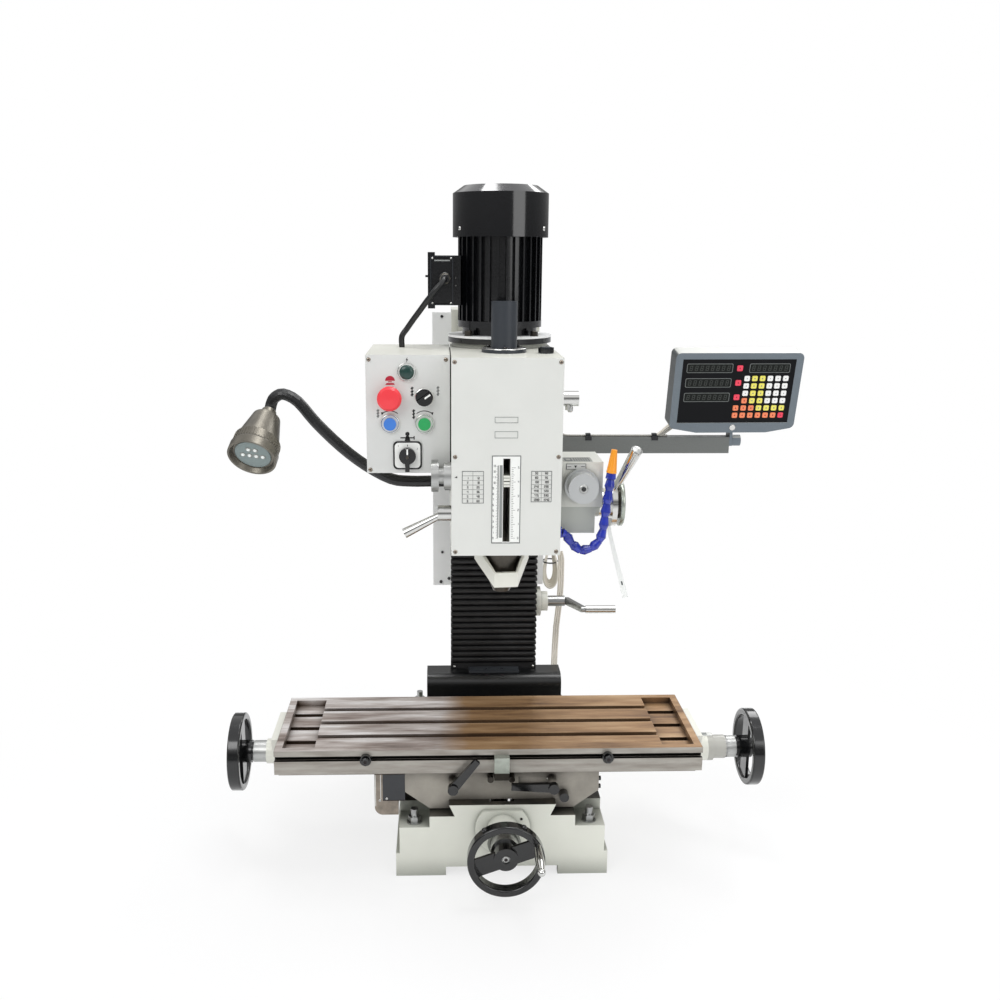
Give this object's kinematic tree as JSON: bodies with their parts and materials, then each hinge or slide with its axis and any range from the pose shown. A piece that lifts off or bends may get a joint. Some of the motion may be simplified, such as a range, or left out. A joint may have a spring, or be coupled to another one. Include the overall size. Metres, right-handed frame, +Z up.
{
  "type": "mill drill",
  "caption": "Geared-head mill drill on a dovetail column, with a compound table, work lamp, coolant hose, control box and a three-axis readout on a swing arm.",
  "frame": {"origin": "on the floor plane under the base, straight below the spindle's axis", "axes": "+X to the operator's right, +Y away from the operator towards the column, +Z up"},
  "size_m": [1.1689, 0.7963, 1.283],
  "materials": {
    "cream_paint": "gloss",
    "pale_paint": "satin",
    "plate_film": "satin",
    "black_paint": "gloss",
    "dark_paint": "satin",
    "arm_paint": "satin",
    "ground_iron": "satin",
    "steel": "satin",
    "chrome": "gloss",
    "aluminium": "satin",
    "black_plastic": "gloss",
    "black_rubber": "satin",
    "white_sheath": "satin",
    "red_plastic": "gloss",
    "blue_plastic": "gloss",
    "green_plastic": "gloss",
    "hose_plastic": "gloss",
    "lamp_metal": "satin",
    "neck_sheath": "satin",
    "readout_case": "satin",
    "readout_face": "gloss"
  },
  "bodies": {
    "base": {"base_casting": "cream_paint", "hold_down_studs": "steel", "column": "cream_paint", "column_covers": "pale_paint", "crank_bracket": "cream_paint", "bellows": "black_rubber", "way_apron": "black_rubber", "apron_clamp_bar": "dark_paint", "readout_bracket": "arm_paint", "cable_hank": "white_sheath"},
    "cross_screw": {"y_screw": "steel", "y_handwheel": "black_plastic"},
    "cross_grip": {"y_handle": "chrome"},
    "saddle": {"saddle": "ground_iron", "saddle_stops": "ground_iron", "saddle_side_cover": "dark_paint"},
    "table_lock": {"table_lock_lever": "black_plastic"},
    "saddle_lock": {"saddle_lock_lever": "black_plastic"},
    "gib_screw": {"gib_knob": "black_plastic"},
    "table": {"table": "ground_iron", "table_end_brackets": "cream_paint"},
    "dog_left": {"left_dog": "black_plastic"},
    "dog_right": {"right_dog": "black_plastic"},
    "long_screw": {"x_screw": "steel", "x_handwheels": "black_plastic"},
    "lift_screw": {"z_screw": "steel"},
    "lift_crank": {"z_crank": "steel"},
    "lift_grip": {"z_crank_handle": "chrome"},
    "carriage": {"carriage": "ground_iron"},
    "head": {"head_casting": "cream_paint", "head_plate": "plate_film", "spindle_cap": "black_plastic", "motor_shell": "black_paint", "motor_cowl": "black_paint", "terminal_box": "black_paint", "motor_cable": "black_rubber", "control_box": "cream_paint", "control_panel": "aluminium", "gooseneck": "neck_sheath", "lamp_head": "lamp_metal", "feed_box": "cream_paint", "coolant_hose": "hose_plastic"},
    "rotor": {"motor_rotor": "steel"},
    "estop": {"estop_button": "red_plastic"},
    "blue": {"blue_button": "blue_plastic"},
    "green": {"green_button": "green_plastic"},
    "jog": {"jog_selector": "black_plastic"},
    "cam": {"cam_switch": "black_plastic"},
    "feed_dial": {"feed_dial": "aluminium"},
    "feed_lever": {"feed_lever": "chrome"},
    "speed_knob": {"speed_knob": "chrome"},
    "feed_knob": {"feed_knob": "aluminium"},
    "quill_hub": {"quill_lever_hub": "chrome"},
    "quill": {"quill": "steel", "quill_collar": "cream_paint"},
    "spindle": {"spindle": "steel"},
    "arm": {"readout_arm": "arm_paint", "readout_cable": "white_sheath"},
    "readout": {"readout_housing": "readout_case", "readout_panel": "readout_face"}
  },
  "joints": [
    {"name": "cross_screw_turn", "type": "hinge", "parent": "base", "child": "cross_screw", "pos_m": [0, -0.18, 0.101], "axis": [0, 1, 0], "range_deg": [-6300, 6300]},
    {"name": "saddle_feed", "type": "slide", "parent": "base", "child": "saddle", "axis": [0, 1, 0], "range_m": [-0.0876, 0.0876]},
    {"name": "cross_grip_spin", "type": "hinge", "parent": "cross_screw", "child": "cross_grip", "pos_m": [0.0549, -0.29, 0.1327], "axis": [0, 1, 0], "continuous": true},
    {"name": "table_lock_turn", "type": "hinge", "parent": "saddle", "child": "table_lock", "pos_m": [-0.094, -0.135, 0.1898], "axis": [0, -1, 0], "range_deg": [-20, 35]},
    {"name": "saddle_lock_turn", "type": "hinge", "parent": "saddle", "child": "saddle_lock", "pos_m": [0.094, -0.135, 0.1898], "axis": [0, -1, 0], "range_deg": [0, 25]},
    {"name": "gib_screw_turn", "type": "hinge", "parent": "saddle", "child": "gib_screw", "pos_m": [0.117, -0.105, 0.1578], "axis": [0, 1, 0], "range_deg": [-360, 360]},
    {"name": "table_feed", "type": "slide", "parent": "saddle", "child": "table", "axis": [1, 0, 0], "range_m": [-0.1721, 0.2271]},
    {"name": "long_screw_turn", "type": "hinge", "parent": "table", "child": "long_screw", "pos_m": [-0.025, 0, 0.2024], "axis": [1, 0, 0], "range_deg": [-12384, 16344]},
    {"name": "left_dog_set", "type": "slide", "parent": "table", "child": "dog_left", "axis": [1, 0, 0], "range_m": [-0.155, 0]},
    {"name": "right_dog_set", "type": "slide", "parent": "table", "child": "dog_right", "axis": [1, 0, 0], "range_m": [0, 0.155]},
    {"name": "lift_crank_turn", "type": "hinge", "parent": "base", "child": "lift_crank", "pos_m": [0.15, 0.312, 0.404], "axis": [-1, 0, 0], "range_deg": [-6480, 17280]},
    {"name": "lift_grip_spin", "type": "hinge", "parent": "lift_crank", "child": "lift_grip", "pos_m": [0.226, 0.21297, 0.41792], "axis": [1, 0, 0], "continuous": true},
    {"name": "lift_screw_turn", "type": "hinge", "parent": "base", "child": "lift_screw", "pos_m": [0, 0.312, 0.6], "axis": [0, 0, 1], "range_deg": [-6481, 17281]},
    {"name": "head_lift", "type": "slide", "parent": "base", "child": "carriage", "axis": [0, 0, -1], "range_m": [-0.0901, 0.2401], "deforming": ["bellows"]},
    {"name": "head_tilt", "type": "hinge", "parent": "carriage", "child": "head", "pos_m": [0, 0.224, 0.8105], "axis": [0, 1, 0], "range_deg": [-90, 90]},
    {"name": "rotor_spin", "type": "hinge", "parent": "head", "child": "rotor", "pos_m": [0, 0.15, 1.1], "axis": [0, 0, 1], "continuous": true},
    {"name": "quill_feed", "type": "slide", "parent": "head", "child": "quill", "axis": [0, 0, 1], "range_m": [-0.1001, 0.0001]},
    {"name": "quill_hub_turn", "type": "hinge", "parent": "head", "child": "quill_hub", "pos_m": [0.2, -0.008, 0.706], "axis": [-1, 0, 0], "range_deg": [-286.4, 0]},
    {"name": "spindle_spin", "type": "hinge", "parent": "quill", "child": "spindle", "pos_m": [0, 0, 0.7], "axis": [0, 0, 1], "continuous": true},
    {"name": "estop_press", "type": "slide", "parent": "head", "child": "estop", "axis": [0, 1, 0], "range_m": [0, 0.006]},
    {"name": "blue_press", "type": "slide", "parent": "head", "child": "blue", "axis": [0, 1, 0], "range_m": [0, 0.005], "stiffness_N_per_m": 600, "springref_m": -0.004},
    {"name": "green_press", "type": "slide", "parent": "head", "child": "green", "axis": [0, 1, 0], "range_m": [0, 0.005], "stiffness_N_per_m": 600, "springref_m": -0.004},
    {"name": "jog_turn", "type": "hinge", "parent": "head", "child": "jog", "pos_m": [-0.14364, -0.066, 0.91045], "axis": [0, 1, 0], "range_deg": [0, 70]},
    {"name": "cam_turn", "type": "hinge", "parent": "head", "child": "cam", "pos_m": [-0.17398, -0.066, 0.80755], "axis": [0, 1, 0], "range_deg": [-60, 60]},
    {"name": "feed_dial_turn", "type": "hinge", "parent": "head", "child": "feed_dial", "pos_m": [-0.11, -0.096, 0.776], "axis": [1, 0, 0], "range_deg": [-60, 60]},
    {"name": "feed_lever_turn", "type": "hinge", "parent": "head", "child": "feed_lever", "pos_m": [-0.11, -0.092, 0.707], "axis": [1, 0, 0], "range_deg": [-30, 30]},
    {"name": "speed_knob_turn", "type": "hinge", "parent": "head", "child": "speed_knob", "pos_m": [0.11, -0.06, 0.908], "axis": [1, 0, 0], "range_deg": [-60, 60]},
    {"name": "feed_knob_turn", "type": "hinge", "parent": "head", "child": "feed_knob", "pos_m": [0.139, -0.08, 0.751], "axis": [0, 1, 0], "range_deg": [-120, 120]},
    {"name": "arm_swing", "type": "hinge", "parent": "base", "child": "arm", "pos_m": [0.118, 0.315, 0.76], "axis": [0, 0, -1], "range_deg": [-60, 35]},
    {"name": "readout_tilt", "type": "hinge", "parent": "arm", "child": "readout", "pos_m": [0.509, 0.315, 0.768], "axis": [1, 0, 0], "range_deg": [-20, 20]}
  ],
  "couplings": [
    {"joint": "saddle_feed", "follows": "cross_screw_turn", "m_per_rad": 0.00079577},
    {"joint": "table_feed", "follows": "long_screw_turn", "m_per_rad": 0.00079577},
    {"joint": "lift_screw_turn", "follows": "lift_crank_turn", "ratio": 1},
    {"joint": "head_lift", "follows": "lift_crank_turn", "m_per_rad": 0.00079577},
    {"joint": "quill_feed", "follows": "quill_hub_turn", "m_per_rad": 0.02},
    {"joint": "spindle_spin", "follows": "rotor_spin", "ratio": 0.5563}
  ]
}
